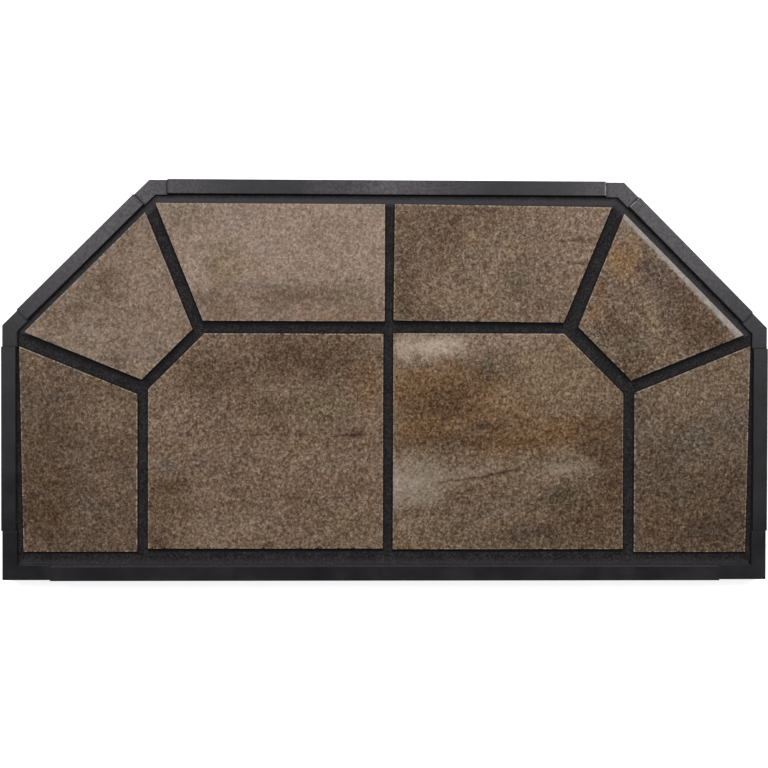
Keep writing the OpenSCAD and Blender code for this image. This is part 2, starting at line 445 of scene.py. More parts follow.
def albedo(*shown):
    """The reflectance that shows as this colour, given from 0 to 255, under the studio light."""
    c = np.array(shown, float).reshape(-1, 3) / 255
    linear = np.where(c < 0.04045, c / 12.92, ((c + 0.055) / 1.055) ** 2.4) / WHITE_LEVEL
    return linear if len(linear) > 1 else tuple(float(x) for x in linear[0])


def tile_look(name, roughness):
    look = Look(name, roughness, specular=0.3)
    sand = look.noise(3.5 * MM, 4, 0.75)
    grit = look.noise(0.9 * MM, 3, 0.6)
    flecks = look.fit(look.noise(3.4 * MM, 2), 0.66, 0.76)
    pits = look.fit(look.cells(4.2 * MM), 0.10, 0.26, 1.0, 0.0)
    grains = look.cells(2.6 * MM, "Color")
    level = look.sum((sand, 0.97), (grains, 0.19), (grit, 0.10), (-0.63, 1.0))
    level = look.sum((level, 1.0), (pits, -0.07), (flecks, 0.04))
    colour = look.lift(look.read("tone", "Color"), look.times(level, look.read("grain")))
    body = look.shade(albedo(166, 150, 136), look.fit(grit, 0.2, 0.8, 0.65, 1.35))
    # Pale body where the cut edge is worn, with a painted highlight along the edges
    worn_and_highlight = look.fit(look.sum((look.read("worn_and_highlight"), 1.0), (sand, 0.5)), 0.5, 1.1)
    look.drive("Base Color", look.mix(colour, body, worn_and_highlight))
    look.drive("Roughness", look.fit(sand, 0.3, 0.7, roughness - 0.08, roughness + 0.1))
    look.bump(look.sum((sand, 1.0), (grit, 0.4), (pits, -0.8)), 0.35 * MM)
    return look.material


def grout_look():
    look = Look("grout_charcoal", 0.85, specular=0.2)
    sand = look.noise(1.1 * MM, 3, 0.7)
    haze = look.noise(24 * MM, 4, 0.6)
    colour = look.mix(albedo(28, 25, 27), albedo(42, 39, 40), look.fit(haze, 0.35, 0.7))
    coarse = look.noise(2.6 * MM, 4, 0.75)
    colour = look.lift(colour, look.sum((coarse, 0.55), (sand, 0.15), (-0.35, 1.0)))
    grains = look.fit(look.cells(2.2 * MM), 0.05, 0.16, 1.0, 0.0)
    colour = look.mix(colour, albedo(80, 78, 78), look.times(grains, 0.25))
    # Painted shade: the grout turned near black along the tiles' edges, in front of the tiles and under
    # the rail lip
    colour = look.mix(colour, albedo(4, 4, 5), look.read("painted_shade"))
    # The grout made lighter in a band off the back rails and against the front rail
    look.drive("Base Color", look.mix(colour, albedo(78, 76, 80), look.read("paler")))
    look.drive("Roughness", look.fit(haze, 0.3, 0.7, 0.78, 0.95))
    look.bump(look.sum((sand, 1.0), (grains, 0.5)), 0.5 * MM)
    return look.material


def trim_look(name, shown):
    look = Look(name, 0.45, specular=0.5)
    peel = look.noise(1.4 * MM, 2, 0.5)
    film = look.noise(55 * MM, 5, 0.62)
    scuffs = look.fit(look.noise(9 * MM, 5, 0.7, look.stretched((0.25, 1.0, 1.0))), 0.62, 0.78)
    # Fine pale specks of dust on the coating
    paler = look.fit(look.noise(0.8 * MM, 2), 0.66, 0.75)
    base = look.shade(albedo(*shown), look.fit(film, 0.3, 0.7, 0.82, 1.2))
    base = look.mix(base, albedo(88, 84, 80), look.times(look.fit(film, 0.5, 0.8), 0.06))
    patches = look.fit(look.noise(3.2 * MM, 4, 0.7), 0.3, 0.7, 0.10, 0.57)
    # Dust and a painted sheen lighten the lip in patches, as much as the film attribute says
    base = look.mix(base, albedo(120, 113, 118), look.times(look.read("film"), patches))
    base = look.mix(base, albedo(120, 116, 110), look.times(paler, 0.06))
    base = look.mix(base, albedo(96, 94, 94), look.times(scuffs, 0.06))
    # A painted glint on the rubbed ends of two rails, where the bare cut edge shows
    bare = look.times(look.read("rubbed_and_glint"), look.fit(look.noise(2.4 * MM, 3), 0.35, 0.6))
    base = look.mix(base, albedo(176, 174, 172), bare)
    # Painted shade darkens the corner pieces along their seams with the rails
    look.drive("Base Color", look.mix(base, albedo(6, 6, 6), look.read("painted_seam_shade")))
    rough = look.sum((look.fit(film, 0.3, 0.7, 0.38, 0.54), 1.0), (scuffs, 0.12))
    look.drive("Roughness", look.sum((rough, 1.0), (look.read("painted_seam_shade"), 0.4)))
    look.bump(look.sum((peel, 1.0), (scuffs, -0.15)), 0.06 * MM)
    return look.material


LOOKS = {
    "tile_taupe": tile_look("porcelain_taupe", 0.62),
    "tile_brown": tile_look("porcelain_brown", 0.60),
    "tile_dark": tile_look("porcelain_dark", 0.64),
    "grout": grout_look(),
    "trim": trim_look("powder_coat_rails", (16, 15, 20)),
    "trim_corner": trim_look("powder_coat_corners", (15, 14, 19)),
}

# ---- tiles ----

TILE_PITCH = 1.25 * MM
STREAKS = {"tile_centre_right": 0.045, "tile_centre_left": 0.025}  # how streaky some tiles are
# The tile that keeps a rounded edge from its mould, and the rail that this edge faces
PRESSED_TILE = "tile_diagonal_right"
PRESSED_SIDE = "rail_clip_right"
# Nicks in the front edge of one tile, as shares of its width
NOTCHED_TILE = "tile_centre_left"
NOTCHES = [0.07, 0.21, 0.33, 0.49, 0.65, 0.72, 0.81, 0.87]
DARKEST = (0.016, 0.011, 0.008)  # the darkest that the glaze gets, as reflectance
THIN_GLAZE = (152, 145, 139)  # over the rounded edge, as shown
# The colour that the nicks are painted darker towards, as shown from 0 to 255
NICK_DARK = (40, 36, 34)  # in the nicks, as shown
SHEEN = 0.014  # what the glaze's sheen adds to its colour under the studio light
BORDER = [0.15, 0.4, 0.75, 1.2, 1.8, 2.6, 3.6]  # rings near a tile's edge, in mm

# Colours of the glaze, as shown from 0 to 255
GLAZE = {
    "cream": (172, 156, 139), "pale": (148, 135, 120), "pink": (136, 113, 99), "tan": (127, 106, 83),
    "sand": (122, 104, 80), "olive": (100, 88, 64), "moss": (84, 77, 60), "slate": (94, 86, 77),
    "mauve": (92, 74, 65), "umber": (78, 59, 43), "rust": (108, 78, 50), "orange": (136, 103, 70),
    "brick": (113, 86, 70), "coal": (54, 45, 39), "vein": (62, 44, 33),
}

# Each tile: its base colour, how strong its grain is, how chipped its cut edges are, then soft
# stains. A stain is a colour, its strength, its middle from the tile's back left corner and its
# radii, in percent of the tile's width and depth, and its turn in degrees if it has one.
MOTTLE = {
    "tile_top_left": ((144, 125, 111), 0.70, 1.0, [
        ("moss", 28, 12, 10, 14, 18), ("brick", 18, 8, 30, 10, 22), ("sand", 60, 31, 52, 12, 22, 20),
        ("umber", 20, 60, 96, 45, 8), ("pink", 40, 72, 25, 30, 26), ("umber", 40, 50, 80, 12, 14),
        ("umber", 46, 68, 78, 17, 12), ("umber", 42, 27, 84, 14, 16), ("olive", 48, 86, 80, 12, 15),
        ("rust", 30, 88, 97, 14, 8), ("orange", 28, 68, 97, 10, 6), ("rust", 22, 32, 95, 10, 7),
        ("brick", 30, 98, 90, 5, 12),
    ]),
    "tile_top_right": ((118, 99, 82), 0.94, 0.9, [
        ("umber", 35, 13, 16, 18, 20), ("umber", 45, 23, 32, 8, 22, -15), ("orange", 28, 37, 32, 5, 9),
        ("slate", 35, 3, 45, 7, 14), ("moss", 45, 3, 88, 7, 16), ("tan", 45, 50, 45, 14, 9, 25),
        ("cream", 25, 27, 77, 4, 5, 30), ("sand", 50, 28, 82, 16, 11), ("rust", 30, 41, 92, 6, 6),
        ("moss", 40, 56, 66, 5, 16, 10), ("pink", 30, 82, 42, 20, 32), ("pink", 60, 92, 10, 16, 16),
        ("umber", 48, 5, 62, 11, 45), ("mauve", 30, 72, 86, 14, 12), ("umber", 40, 40, 8, 22, 13),
        ("umber", 30, 18, 95, 12, 10),
    ]),
    "tile_diagonal_left": ((128, 110, 95), 0.77, 1.1, [
        ("umber", 38, 50, 42, 12, 11, -35), ("umber", 35, 30, 60, 6, 6), ("olive", 45, 61, 17, 6, 5),
        ("brick", 35, 58, 23, 7, 5), ("olive", 30, 36, 46, 10, 7, 45), ("pink", 40, 78, 55, 18, 26),
        ("cream", 25, 7, 72, 8, 4, 20), ("moss", 22, 34, 76, 10, 5), ("sand", 35, 66, 95, 9, 5),
        ("orange", 22, 94, 71, 6, 7), ("mauve", 35, 55, 88, 12, 5, -20), ("umber", 20, 20, 66, 12, 8, 40),
    ]),
    "tile_diagonal_right": ((110, 92, 76), 1.04, 1.2, [
        ("orange", 65, 25, 29, 12, 15, 62), ("orange", 45, 33, 17, 7, 8), ("rust", 60, 14, 45, 6, 6),
        ("orange", 45, 10, 59, 7, 7), ("pale", 50, 30, 7, 9, 8), ("coal", 32, 40, 31, 7, 6, 40),
        ("mauve", 65, 52, 40, 18, 10, -40), ("umber", 50, 62, 50, 16, 10, -40), ("tan", 60, 43, 62, 8, 12),
        ("umber", 75, 74, 70, 20, 12, -35), ("umber", 50, 24, 70, 13, 10), ("umber", 62, 34, 92, 12, 12),
        ("sand", 40, 54, 84, 12, 6, 20), ("moss", 30, 36, 78, 10, 5), ("pale", 35, 38, 36, 3, 3),
        ("olive", 35, 16, 80, 8, 6),
    ]),
    "tile_side_left": ((98, 81, 67), 0.88, 0.9, [
        ("tan", 35, 10, 8, 14, 8), ("rust", 30, 63, 17, 10, 5), ("umber", 40, 30, 44, 20, 13, -50),
        ("umber", 40, 28, 88, 14, 6), ("slate", 25, 12, 30, 8, 5), ("tan", 25, 72, 66, 16, 7),
        ("mauve", 30, 56, 72, 18, 6), ("sand", 22, 30, 72, 12, 6), ("umber", 30, 58, 96, 8, 5),
        ("pink", 20, 74, 36, 18, 10), ("rust", 18, 82, 52, 12, 5), ("tan", 42, 78, 32, 36, 16),
        ("umber", 50, 18, 74, 34, 26),
    ]),
    "tile_side_right": ((101, 86, 72), 0.97, 1.2, [
        ("umber", 48, 50, 84, 80, 34), ("tan", 40, 55, 22, 60, 16), ("tan", 45, 78, 12, 20, 9),
        ("tan", 35, 40, 26, 34, 10, 10), ("slate", 45, 53, 43, 12, 3, 20), ("slate", 35, 42, 54, 14, 8),
        ("umber", 35, 26, 52, 16, 8), ("moss", 45, 48, 72, 16, 6), ("coal", 40, 62, 90, 16, 6),
        ("rust", 25, 16, 86, 14, 10), ("umber", 35, 82, 64, 16, 10), ("slate", 35, 80, 34, 14, 8),
        ("coal", 22, 84, 84, 14, 12), ("pink", 35, 94, 5, 6, 10),
    ]),
    "tile_centre_left": ((116, 96, 79), 0.94, 1.4, [
        ("umber", 42, 6, 84, 14, 20), ("umber", 68, 68, 11, 34, 13), ("umber", 52, 26, 20, 20, 12, -20),
        ("brick", 35, 46, 5, 4, 4), ("brick", 35, 70, 5, 4, 4), ("tan", 22, 94, 10, 7, 10),
        ("olive", 50, 70, 34, 22, 8), ("umber", 35, 50, 34, 14, 7), ("rust", 45, 93, 24, 8, 12),
        ("sand", 50, 67, 52, 8, 6), ("umber", 50, 86, 46, 10, 2.5), ("umber", 30, 55, 46, 20, 2),
        ("pink", 22, 9, 40, 11, 12), ("slate", 50, 8, 63, 6, 4), ("slate", 40, 21, 60, 6, 3),
        ("umber", 60, 10, 71, 11, 4, 10), ("pale", 15, 22, 91, 18, 8), ("moss", 25, 43, 82, 5, 8),
        ("pale", 25, 44, 86, 5, 7), ("umber", 35, 64, 77, 9, 4), ("umber", 35, 88, 72, 3, 5),
        ("olive", 30, 84, 90, 14, 9), ("umber", 45, 4, 97, 5, 3), ("sand", 30, 88, 38, 8, 5),
        ("brick", 30, 58, 34, 4, 3),
    ]),
    "tile_centre_right": ((114, 95, 77), 0.95, 1.0, [
        ("rust", 50, 42, 37, 28, 17), ("orange", 18, 50, 34, 12, 12), ("pink", 85, 44, 2, 26, 6),
        ("tan", 70, 70, 20, 22, 18), ("umber", 45, 42, 20, 13, 6), ("rust", 80, 18, 28, 24, 15),
        ("umber", 62, 20, 33, 17, 11), ("rust", 75, 13, 46, 16, 7), ("umber", 55, 26, 50, 24, 5.5),
        ("orange", 25, 5, 20, 6, 5), ("cream", 100, 18, 6.5, 17, 6), ("cream", 55, 4, 7, 7, 6),
        ("tan", 45, 48, 28, 8, 6, 60), ("moss", 45, 41, 13, 4, 3), ("coal", 45, 38, 43, 5, 3),
        ("umber", 45, 44, 44, 12, 4), ("rust", 65, 74, 46, 32, 8, 6), ("umber", 60, 88, 53, 13, 7, -30),
        ("rust", 45, 46, 52, 18, 5), ("umber", 62, 97, 66, 9, 20), ("pale", 95, 5, 70, 20, 13),
        ("pale", 50, 28, 65.5, 22, 3.8, 6), ("pale", 60, 74, 63, 14, 3, 10), ("tan", 35, 52, 60, 22, 4, 8),
        ("umber", 50, 86, 84, 26, 18), ("coal", 25, 60, 94, 40, 10), ("moss", 50, 73, 77, 12, 5.5, 10),
        ("slate", 35, 85, 68, 10, 5, 30), ("coal", 30, 72, 74, 10, 4, 20), ("slate", 30, 45, 80, 26, 5, 4),
        ("pale", 30, 47, 83, 9, 2, 4), ("olive", 45, 26, 92, 12, 6), ("coal", 30, 58, 93, 7, 6),
        ("umber", 30, 14, 83, 14, 2), ("umber", 40, 95, 44, 14, 14), ("umber", 25, 34, 74, 10, 7),
    ]),
}

# Fine dark veins of a tile: from, to (in percent, as above), width in mm and strength
VEINS = {
    "tile_centre_right": [
        ((18, 69), (40, 66.5), 1.6, 0.55),
        ((38, 66.8), (56, 62.5), 3.2, 0.80),
        ((18, 78), (34, 75.5), 1.6, 0.35),
        ((4, 77.5), (8, 76), 1.8, 0.60),
    ],
    "tile_centre_left": [
        ((79, 47.5), (93, 47), 2.6, 0.75),
        ((62, 47), (68, 47), 2.2, 0.55),
        ((40, 47.5), (60, 46.5), 1.4, 0.30),
        ((16, 46.5), (21, 41.5), 1.3, 0.70),
    ],
    "tile_top_right": [
        ((74, 30.5), (93, 29), 2.0, 0.50),
        ((79, 49), (88, 50), 2.2, 0.60),
    ],
    "tile_top_left": [
        ((80, 66.5), (92, 64), 1.8, 0.35),
    ],
}


HAZY = ("cream", "pale")  # stains under which the grain is faint


def cover(at, aspect, stain, ragged):
    """How much one soft stain covers each place, 0 to 1.

    at holds shares of the tile's width and depth, and aspect is its width over its depth.
    """
    strength, x, y, wide, deep = (percent / 100 for percent in stain[1:6])
    turn = math.radians(stain[6] if len(stain) > 6 else 0)
    c, s = math.cos(turn), math.sin(turn)
    right = (at[:, 0] - x) * aspect
    down = at[:, 1] - y
    across = (c * right - s * down) / (wide * aspect)
    along = (s * right + c * down) / deep
    reach = np.hypot(across, along) + 0.30 * ragged
    share = strength * (1 - smooth(0.2, 1.35, reach)) * np.clip(1 + 0.3 * ragged, 0, 1.3)
    return np.clip(share, 0, 1)


def veined(tone, name, xy, lo, size, seed):
    """Draws the fine dark veins of one tile."""
    for start, end, width, strength in VEINS.get(name, []):
        a, b = (lo + size * (p[0] / 100, 1 - p[1] / 100) for p in (start, end))
        way = (b - a) / np.linalg.norm(b - a)
        along = (xy - a) @ way / np.linalg.norm(b - a)
        off = (xy - a) @ (-way[1], way[0]) / MM
        off = off + 1.1 * noise(xy, 14 * MM, seed + 60) + 0.6 * noise(xy, 5 * MM, seed + 61)
        thin = width * (0.7 + 0.5 * noise(xy, 9 * MM, seed + 62))
        share = strength * np.exp(-((off / np.maximum(thin, 0.4)) ** 2))
        share = share * smooth(-0.05, 0.15, along) * (1 - smooth(0.85, 1.05, along))
        tone = tone + (np.array(GLAZE["vein"], float) - tone) * share[:, None]
    return tone


def tile_tone(name, xy, seed):
    """The glaze's colour at each point, and how strong its grain is."""
    base, grain, _, stains = MOTTLE[name]
    lo, hi = (np.array(corner[:2]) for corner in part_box(name))
    size = hi - lo
    tone = np.tile(np.array(base, float), (len(xy), 1))
    tone *= 1 + 0.05 * cloud(xy, (70 * MM, 45 * MM), seed + 10)[:, None]
    hue = cloud(xy, (45 * MM, 30 * MM), seed + 30)[:, None]
    tone *= 1 + 0.025 * hue * (1, 0, -1)
    warp = np.stack([cloud(xy, 26 * MM, seed + 40), cloud(xy, 26 * MM, seed + 50)], 1)
    at = (xy + 6 * MM * warp - lo) / size
    at[:, 1] = 1 - at[:, 1]
    haze = np.zeros(len(xy))
    for number, stain in enumerate(stains):
        ragged = cloud(xy, (22 * MM, 14 * MM), seed + 70 + number, 3)
        share = cover(at, size[0] / size[1], stain, ragged)
        tone = tone + (np.array(GLAZE[stain[0]], float) - tone) * share[:, None]
        haze = haze + (stain[0] in HAZY) * share
    tone *= 1 + 0.05 * cloud(xy, (15 * MM, 8 * MM), seed + 20, 3)[:, None]
    slant = xy @ np.array([[1, -0.12], [0.12, 1]])
    tone *= 1 + STREAKS.get(name, 0.015) * cloud(slant, (70 * MM, 6 * MM), seed + 25, 3)[:, None]
    tone = albedo(*veined(tone, name, xy, lo, size, seed)) - SHEEN
    return np.maximum(tone, DARKEST), grain * (1 - 0.45 * np.clip(haze, 0, 1))


def pressed(outline, xy, seed):
    """How far points lie in the rounded edge that one tile keeps from its mould, 0 to 1."""
    clip = EDGES[RAILS.index(PRESSED_SIDE)]
    side = (inward(outline) @ clip.out).argmin()
    depth = depths(outline, xy)[side]
    along = (xy - outline[side]) @ clip.along
    share = 1 - np.clip(along / along.max(), 0, 1)
    width = MM * (8 + 5 * share + 0.8 * noise(xy, 12 * MM, seed + 8))
    return np.clip(1 - depth / width, 0, 1)


def tile_surface(outline, seed):
    """Points, triangles and rim of a tile's face, with finer steps near its edge."""
    steps = counts(outline, TILE_PITCH)
    loose = [stepped(inset(outline, d * MM), steps) for d in BORDER]
    inner = scattered(outline.min(0), outline.max(0), TILE_PITCH, seed)
    loose.append(inner[depths(outline, inner).min(0) > (BORDER[-1] + 0.5) * MM])
    return triangulated([stepped(outline, steps)], np.concatenate(loose))


def nicks(name, outline, foot, normal):
    """How far points lie in the nicks of one tile's front edge, 0 to 1."""
    if name != NOTCHED_TILE:
        return np.zeros(len(foot))
    places = outline[:, 0].min() + np.ptp(outline[:, 0]) * np.array(NOTCHES)
    notch = np.exp(-((foot[:, :1] - places) / (1.7 * MM)) ** 2).max(1)
    return notch * (normal[:, 1] > 0.9)


def chipped(ragged, foot, depth, notch, seed):
    """How far a tile's cut edge falls away at each point."""
    chip = 1.7 * smooth(0.45, 0.95, noise(foot, 6 * MM, seed + 1)) * ragged
    jagged = 0.25 * noise(foot, 11 * MM, seed + 2) + 0.22 * noise(foot, 3 * MM, seed + 3)
    wear = MM * np.maximum(0.55 + jagged + chip + 2.2 * notch, 0.25)
    inside = 1 - np.clip(depth / wear, 0, 1)
    return wear * (1 - np.sqrt(1 - inside**2))


def relief(xy, seed):
    """How far a tile's face dips below its plane at each point."""
    swell = 0.11 * (1 + cloud(xy, (60 * MM, 40 * MM), seed + 4, 3))
    cleft = 0.05 * (1 + noise(xy, (14 * MM, 8 * MM), seed + 5))
    cleft = cleft + 0.03 * (1 + noise(xy, 3.5 * MM, seed + 6))
    return MM * np.maximum(swell + cleft, 0)


def glazed(name, xy, edge, seed):
    """A tile's colour and how strong its grain is, with thin glaze on the rounded edge."""
    tone, grain = tile_tone(name, xy, seed)
    glaze = np.array(albedo(*THIN_GLAZE)) * (1 + 0.2 * noise(xy, 12 * MM, seed + 9)[:, None])
    rim = 0.85 * smooth(0.05, 0.5, edge)
    return tone + (glaze - tone) * rim[:, None], grain * (1 - 0.7 * rim)


def bared(foot, depth, facing, drop, seed):
    """How much a tile's pale body shows along its cut edge, with a painted highlight that is stronger on
    the back edges, which face the studio light. facing is 1 on its back edge.
    """
    fringe = 0.48 + 0.10 * facing + 0.55 * noise(foot, 3.5 * MM, seed + 7)
    return fringe * (1 - smooth(0.5 * MM, 3.2 * MM, depth)) + 0.2 * (drop > 0.9 * MM)


def tile(name, slot, seed):
    """Makes the visible tile that stands for a CAD tile."""
    _, grain_below, ragged, _ = MOTTLE[name]
    outline = plan(name)
    xy, faces, kept = tile_surface(outline, seed)
    gap = depths(outline, xy)
    depth = np.maximum(gap.min(0), 0)
    normal = inward(outline)[gap.argmin(0)]
    foot = xy - normal * depth[:, None]
    notch = nicks(name, outline, foot, normal)
    drop = chipped(ragged, foot, depth, notch, seed)
    edge = pressed(outline, xy, seed) if name == PRESSED_TILE else np.zeros(len(xy))
    z = TILE_TOP - drop - relief(xy, seed) * smooth(0, 2 * MM, depth)
    z = np.maximum(z - 1.3 * MM * edge**2, TILE_FOOT + MM)
    points, all_faces = slab(np.column_stack([xy, z]), faces, kept, TILE_FOOT)
    made = piece(name + "_face", points, all_faces, slot, name, sharp=60)

    tone, grain = glazed(name, xy, edge, seed)
    # The nicks in the front edge are painted darker than the glaze
    nick_dark = (notch * (1 - smooth(1.2 * MM, 2.6 * MM, depth)))[:, None]
    tone = tone * (1 - nick_dark) + nick_dark * np.array(albedo(*NICK_DARK))
    # Worn pale edges with a painted highlight, stronger on the back edges
    worn_and_highlight = bared(foot, depth, -normal[:, 1], drop, seed) * (1 - notch)
    attribute(made, "tone", tone, tone.mean(0))
    attribute(made, "worn_and_highlight", worn_and_highlight, 1.0)
    attribute(made, "grain", grain, grain_below)


SLOT_OF = {s["node"]: s["material_slot"] for s in frame["record"]["subparts"]}
for number, name in enumerate(MOTTLE):
    tile(name, SLOT_OF[name], 100 * (number + 1))

# ---- grout ----

GROUT_PITCH = 1.5 * MM
GROUT_SEED = 900
SHOULDERS = [0.4, 1.0]  # rings round each tile, in mm


def grout_surface(outline, holes):
    """Points, triangles and rims of the grout's face, with finer steps near the tiles."""
    rings = [stepped(outline, counts(outline, 4 * MM))]
    rings += [stepped(hole, counts(hole, TILE_PITCH)) for hole in holes]
    loose = scattered(outline.min(0), outline.max(0), GROUT_PITCH, GROUT_SEED)
    loose = loose[depths(outline, loose).min(0) > GROUT_PITCH]
    loose = loose[~np.any([depths(h, loose).min(0) > -1.6 * MM for h in holes], 0)]
    near = [stepped(inset(h, -d * MM), counts(h, TILE_PITCH)) for d in SHOULDERS for h in holes]
    return triangulated(rings, np.concatenate([loose, *near]), holes)


def grout_height(xy, outline, gap, past_lip):
    """Heights of the grout: hollow between the tiles, with a groove along the lip."""
    border = depths(outline, xy).min(0)
    hollow = 0.85 * (1 - np.exp(-gap / (2.2 * MM))) * smooth(14 * MM, 22 * MM, border)
    lumps = 0.22 * (1 + noise(xy, 24 * MM, GROUT_SEED + 1))
    lumps = lumps + 0.10 * (1 + noise(xy, 4 * MM, GROUT_SEED + 2))
    sand = 0.07 * (1 + noise(xy, 2.2 * MM, GROUT_SEED + 3))
    z = GROUT_TOP - MM * (hollow + (lumps + sand) * smooth(0, 1.2 * MM, gap))
    groove = smooth(-0.5, 0.6, past_lip) * (1 - smooth(1.2, 3.2, past_lip))
    return z - 1.2 * MM * groove


def front_shadow(hole, xy):
    """The painted shadow that a tile casts on the grout in front of it, 0 to 1, narrower along the front
    rail.
    """
    front = EDGES[RAILS.index("rail_front")]
    to_front = (front.reach - front.lip - xy @ front.out) / MM
    width = 5 + 6.5 * smooth(18, 24, to_front)
    total = np.zeros(len(xy))
    for start, end, normal in zip(hole, np.roll(hole, -1, 0), inward(hole)):
        if normal[1] < 0.3:
            continue
        length = np.linalg.norm(end - start)
        along = (xy - start) @ (end - start) / length
        off = -((xy - start) @ normal) / MM
        within = smooth(-1 * MM, 0, along) * (1 - smooth(0, 1 * MM, along - length))
        band = (off >= -0.01) * (1 - smooth(1.5, width, off))
        total = np.maximum(total, normal[1] * within * band)
    return total


def grout_painted_shade(xy, holes, gap, to_lip, back):
    """Painted shade on the grout: along the tiles' edges, in front of the tiles and under the lip."""
    under = np.max([front_shadow(hole, xy) for hole in holes], 0)
    painted_shade = 0.92 * np.exp(-((gap / (1.8 * MM)) ** 2)) + 0.97 * under
    shade_by_lip = (0.35 + 0.65 * np.maximum(back, 0)) * np.exp(-((to_lip / 3.2) ** 2))
    return np.clip(painted_shade + shade_by_lip * (back > -0.5), 0, 0.98)


def grout_paler(to_lip, back):
    """How much lighter the grout is made: a band off the back rails, and against the front one."""
    paler = 0.55 * np.maximum(back, 0) * smooth(2.5, 9, to_lip) * (1 - smooth(11, 18, to_lip))
    return np.clip(paler + 0.40 * (back < -0.5) * (1 - smooth(0, 14, to_lip)), 0, 0.7)


def grout():
    """Makes the visible grout. back is 1 beside the back rail and -1 beside the front one."""
    outline = plan("grout")
    holes = [plan(name) for name in MOTTLE]
    xy, faces, kept = grout_surface(outline, holes)
    gap = np.maximum(0, -np.max([depths(h, xy).min(0) for h in holes], 0))
    lips = np.array([(edge.reach - edge.lip) - xy @ edge.out for edge in EDGES]) / MM
    past_lip = lips.min(0)
    to_lip = np.maximum(past_lip, 0)
    back = np.array([edge.out[1] for edge in EDGES])[lips.argmin(0)]
    z = grout_height(xy, outline, gap, past_lip)
    points, all_faces = slab(np.column_stack([xy, z]), faces, kept, TILE_FOOT, holes)
    made = piece("grout_joints", points, all_faces, "grout", "grout", sharp=60)
    # Painted shade on the grout: along the tiles, in front of them and under the lip
    attribute(made, "painted_shade", grout_painted_shade(xy, holes, gap, to_lip, back))
    # How much lighter the grout is made near the rails
    attribute(made, "paler", grout_paler(to_lip, back))


grout()

# ---- edge trim ----

END_EASE = 0.2 * MM  # how much the cut ends of the sheet are broken
FOLD = 0.8 * MM  # outer radius of the sheet's folds
BEND_R = 2.7 * MM  # insets less than this go round the corner pieces' bends in an arc
LEG_STEPS = [0, 0.02, 0.05, 0.1, 0.2, 0.4, 0.6, 0.8]  # shares of a corner piece's leg
STATION = 7 * MM  # spacing of the sections along a rail
SCREW_Z = (top("trim_screws") + bottom("trim_screws")) / 2
# Depth and radius down a screw hole: past the face, the countersink and the bore
HOLE = [(-0.5 * MM, 3.4 * MM), (1.4 * MM, 1.5 * MM), (3.6 * MM, 1.5 * MM)]
HOLE_SIDES = 32
# The ends of rails where the coating is rubbed off the edge, painted bright as bare steel with a glint of
# the studio light
RUBBED_AND_GLINT = {"rail_clip_right": lambda edge: edge.end, "rail_back": lambda edge: edge.start}
# How much dust and a painted sheen lighten the trim's lip, by its bearing from the pad's middle in
# degrees: most at the back and the clipped corners, where the studio light falls, none toward the front
DUST_AND_SHEEN = [
    (-10, 0.0), (6, 0.12), (14, 0.40), (20, 0.75), (36, 0.85), (42, 0.60),
    (48, 0.12), (62, 0.08), (76, 0.70), (90, 1.0), (104, 0.70), (118, 0.12), (128, 0.12), (138, 0.60),
    (144, 0.80), (158, 0.75), (164, 0.48), (172, 0.18), (180, 0.0),
]


def arc(u, z, radius, start, end, steps=6):
    """Points round a centre, from one bearing to another in degrees."""
    turn = np.radians(np.linspace(start, end, steps + 1))
    return np.stack([u + radius * np.cos(turn), z + radius * np.sin(turn)], 1)


def bent_sheet(height, reach, returned, step_in=None):
    """Section of the folded sheet, clockwise from the wall's outer foot: how far in, and height.

    step_in is a place on the lip that must have its own points.
    """
    ease = 0.25 * MM
    outer = [
        arc(ease, FOOT + ease, ease, 270, 180, 2),
        [(0, FOOT + 3 * ease), (0, height - FOLD - 2 * ease)],
        arc(FOLD, height - FOLD, FOLD, 180, 90),
        [(FOLD + 2 * ease, height)],
    ]
    if returned:
        nose = [
            [(reach * share, height) for share in (0.35, 0.65)],
            [(reach - SHEET / 2 - 2 * ease, height)],
            arc(reach - SHEET / 2, height - SHEET / 2, SHEET / 2, 90, 0, 5),
            [(reach, height - 2 * SHEET), (reach - SHEET, height - 2 * SHEET)],
            [(reach - SHEET, height - SHEET)],
        ]
    else:
        nose = [
            [(step_in, height), (reach - 3 * ease, height)],
            arc(reach - ease, height - ease, ease, 90, 0, 2),
            arc(reach - ease, height - SHEET + ease, ease, 0, -90, 2),
            [(step_in, height - SHEET)],
        ]
    inner = [[(SHEET, height - SHEET)], arc(SHEET - ease, FOOT + ease, ease, 0, -90, 2)]
    return np.concatenate([*outer, *nose, *inner])


def shrunk(section, distance):
    """A clockwise section drawn in by distance."""
    return inset(section[::-1], distance)[::-1]


def swept(sections):
    """Points and faces of a run of sections, with both ends closed."""
    n = len(sections[0])
    faces = []
    for k in range(len(sections) - 1):
        a, b = k * n, (k + 1) * n
        faces += [(a + i, b + i, b + (i + 1) % n, a + (i + 1) % n) for i in range(n)]
    last = (len(sections) - 1) * n
    faces += [tuple(range(n)), tuple(reversed(range(last, last + n)))]
    return np.concatenate(sections), faces


def screw_stops(edge):
    """Places of the trim screws along an edge, from their heads in CAD."""
    co = vertices(NODES["trim_screws"].data)
    heads = np.abs(edge.reach - co[:, :2] @ edge.out) < 0.1 * MM
    along = np.sort(co[heads, :2] @ edge.along)
    along = along[(along > edge.start) & (along < edge.end)]
    groups = np.split(along, np.flatnonzero(np.diff(along) > 20 * MM) + 1)
    return [(g[0] + g[-1]) / 2 for g in groups]


